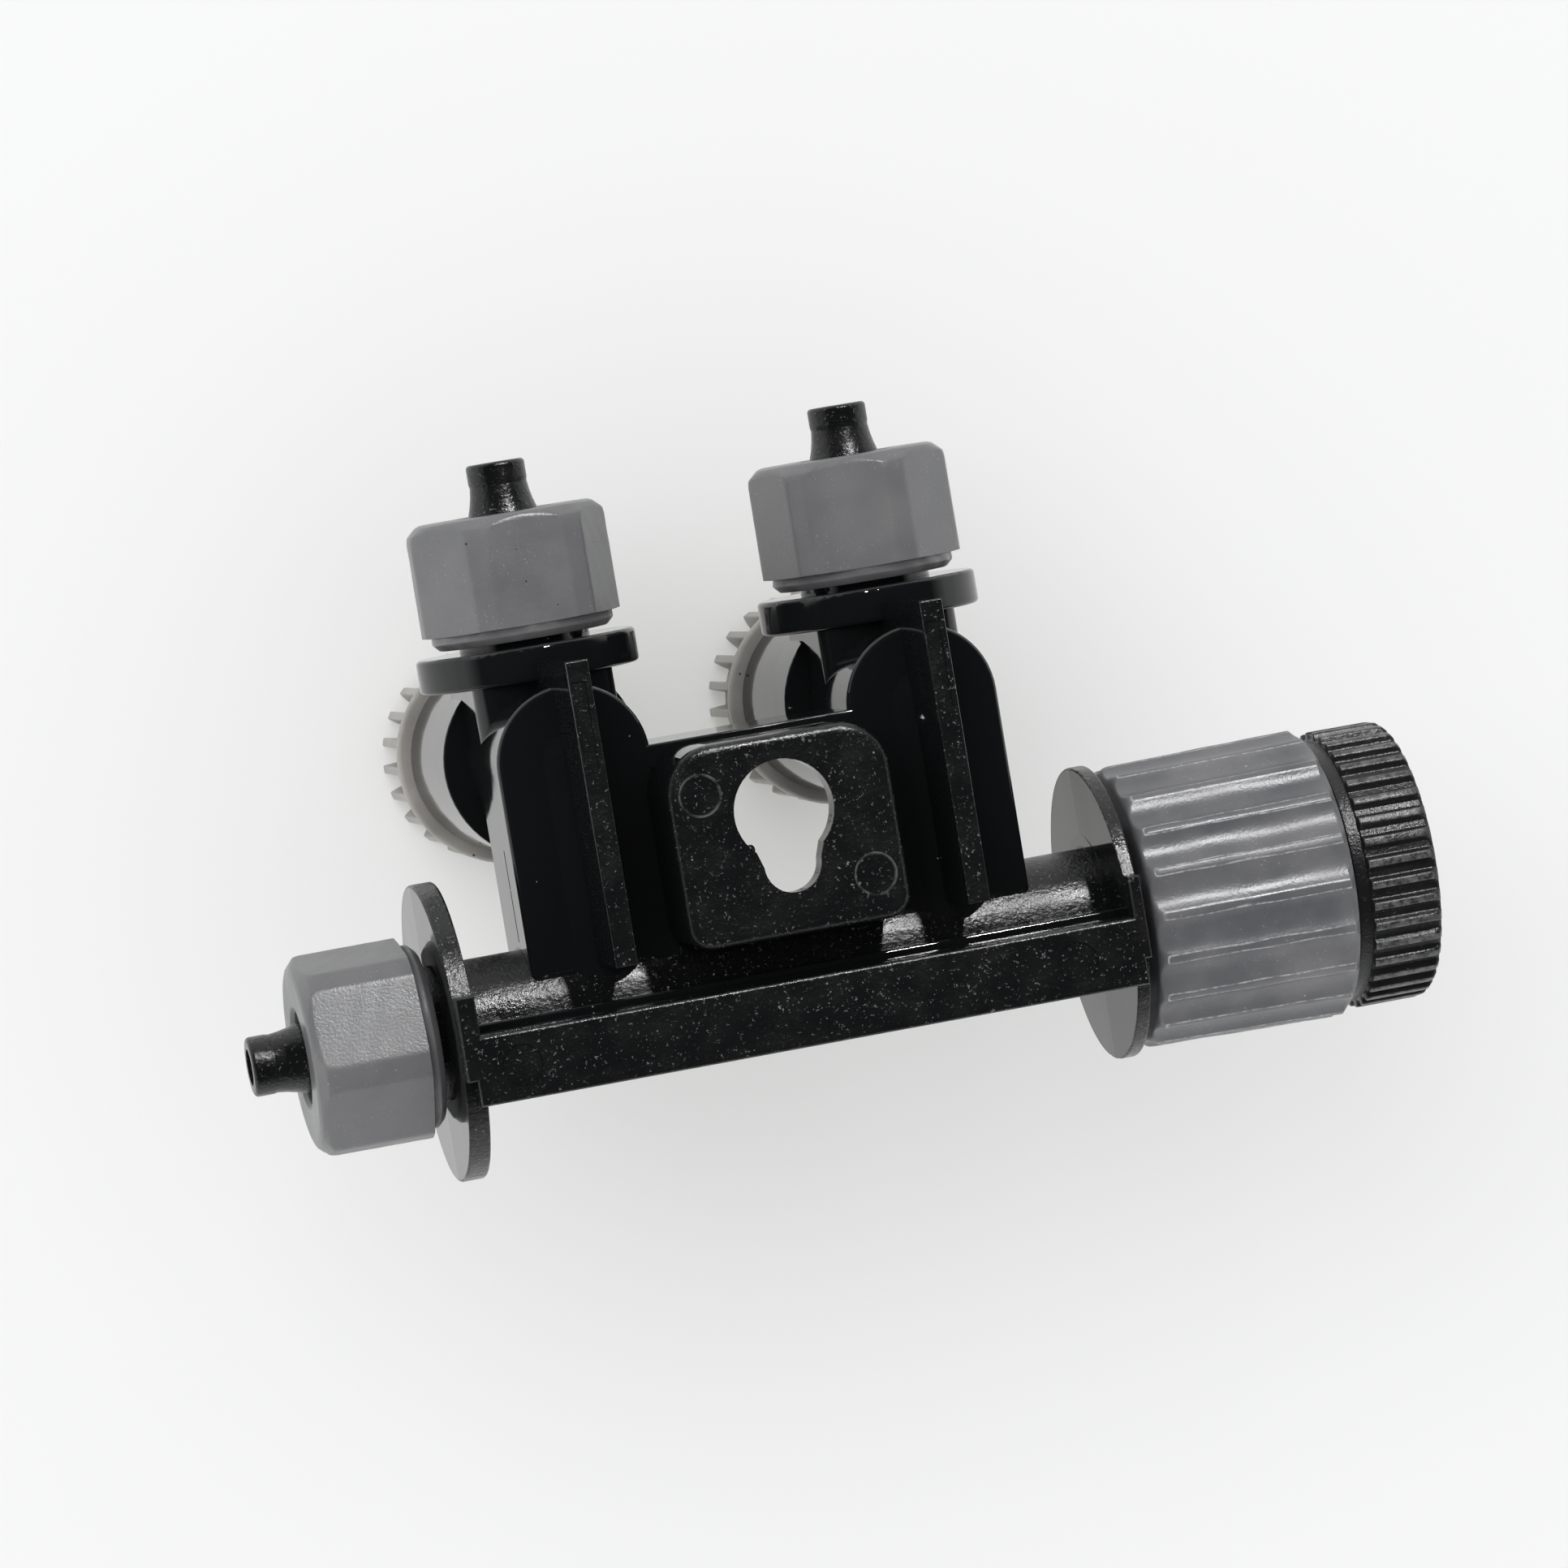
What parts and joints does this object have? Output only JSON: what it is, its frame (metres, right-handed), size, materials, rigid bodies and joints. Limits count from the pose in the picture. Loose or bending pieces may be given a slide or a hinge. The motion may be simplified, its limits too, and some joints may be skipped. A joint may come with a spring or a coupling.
{
  "type": "aquarium air distributor with needle valves",
  "caption": "Black wall-hung air distributor: a tube with a hose inlet, needle valves with toothed knobs under hexagonal outlet hose nuts, a keyhole plate and a plugged coupling end.",
  "frame": {"origin": "centre of the bottom of the object's bounding box, with the object lying on the end faces of its valve knobs", "axes": "+X along the air tube from the hose inlet to the end plug, +Y towards the hose outlets, +Z out of the face that lies against the wall"},
  "size_m": [0.0878, 0.0514, 0.048],
  "materials": {
    "body_black": "polished black moulding with a spark-eroded texture on the wall side",
    "nut_grey": "satin grey with a fine grain",
    "coupling_grey": "satin grey, slightly translucent",
    "plug_black": "satin black with bright rib edges",
    "knob_grey": "warm light grey, slightly translucent",
    "gland_black": "satin black",
    "needle_white": "natural white acetal",
    "washer_white": "matt white",
    "brass": "turned",
    "steel": "plain",
    "rubber": "matt nitrile"
  },
  "bodies": {
    "manifold": {"manifold_body": "body_black", "valve_gland_1": "gland_black", "valve_gland_2": "gland_black", "thrust_washer_1": "washer_white", "thrust_washer_2": "washer_white", "coupling_snap_ring": "steel"},
    "inlet_nut": {"inlet_hose_nut": "nut_grey"},
    "outlet_nut_1": {"outlet_hose_nut_1": "nut_grey"},
    "outlet_nut_2": {"outlet_hose_nut_2": "nut_grey"},
    "coupling": {"coupling_nut": "coupling_grey"},
    "plug_seal": {"end_plug_seal": "rubber"},
    "plug": {"end_plug": "plug_black"},
    "knob_1": {"valve_knob_1": "knob_grey", "knob_fixing_screw_1": "steel", "valve_drive_screw_1": "brass"},
    "needle_1": {"valve_needle_1": "needle_white", "needle_seal_1": "rubber"},
    "knob_2": {"valve_knob_2": "knob_grey", "knob_fixing_screw_2": "steel", "valve_drive_screw_2": "brass"},
    "needle_2": {"valve_needle_2": "needle_white", "needle_seal_2": "rubber"}
  },
  "joints": [
    {"name": "inlet_nut_turn", "type": "hinge", "parent": "manifold", "child": "inlet_nut", "pos_m": [-0.03525, -0.01469, 0.036], "axis": [-1, 0, 0], "range_deg": [0, 1350]},
    {"name": "outlet_nut_turn_1", "type": "hinge", "parent": "manifold", "child": "outlet_nut_1", "pos_m": [-0.01735, 0.01631, 0.0268], "axis": [0, 1, 0], "range_deg": [0, 1350]},
    {"name": "knob_turn_1", "type": "hinge", "parent": "manifold", "child": "knob_1", "pos_m": [-0.01735, 0.00331, 0.006], "axis": [0, 0, -1], "range_deg": [0, 990]},
    {"name": "needle_slide_1", "type": "slide", "parent": "manifold", "child": "needle_1", "axis": [0, 0, -1], "range_m": [0, 0.00344]},
    {"name": "outlet_nut_turn_2", "type": "hinge", "parent": "manifold", "child": "outlet_nut_2", "pos_m": [0.00895, 0.01631, 0.0268], "axis": [0, 1, 0], "range_deg": [0, 1350]},
    {"name": "knob_turn_2", "type": "hinge", "parent": "manifold", "child": "knob_2", "pos_m": [0.00895, 0.00331, 0.006], "axis": [0, 0, -1], "range_deg": [0, 990]},
    {"name": "needle_slide_2", "type": "slide", "parent": "manifold", "child": "needle_2", "axis": [0, 0, -1], "range_m": [0, 0.00344]},
    {"name": "coupling_turn", "type": "hinge", "parent": "manifold", "child": "coupling", "pos_m": [0.02975, -0.01469, 0.036], "axis": [1, 0, 0], "continuous": true},
    {"name": "plug_slide", "type": "slide", "parent": "coupling", "child": "plug_seal", "axis": [1, 0, 0], "range_m": [0, 0.0075]},
    {"name": "plug_turn", "type": "hinge", "parent": "plug_seal", "child": "plug", "pos_m": [0.03975, -0.01469, 0.036], "axis": [1, 0, 0], "range_deg": [0, 1800]}
  ],
  "couplings": [
    {"joint": "needle_slide_1", "follows": "knob_turn_1", "m_per_rad": 0.00019894},
    {"joint": "needle_slide_2", "follows": "knob_turn_2", "m_per_rad": 0.00019894},
    {"joint": "plug_slide", "follows": "plug_turn", "m_per_rad": 0.00023873}
  ]
}
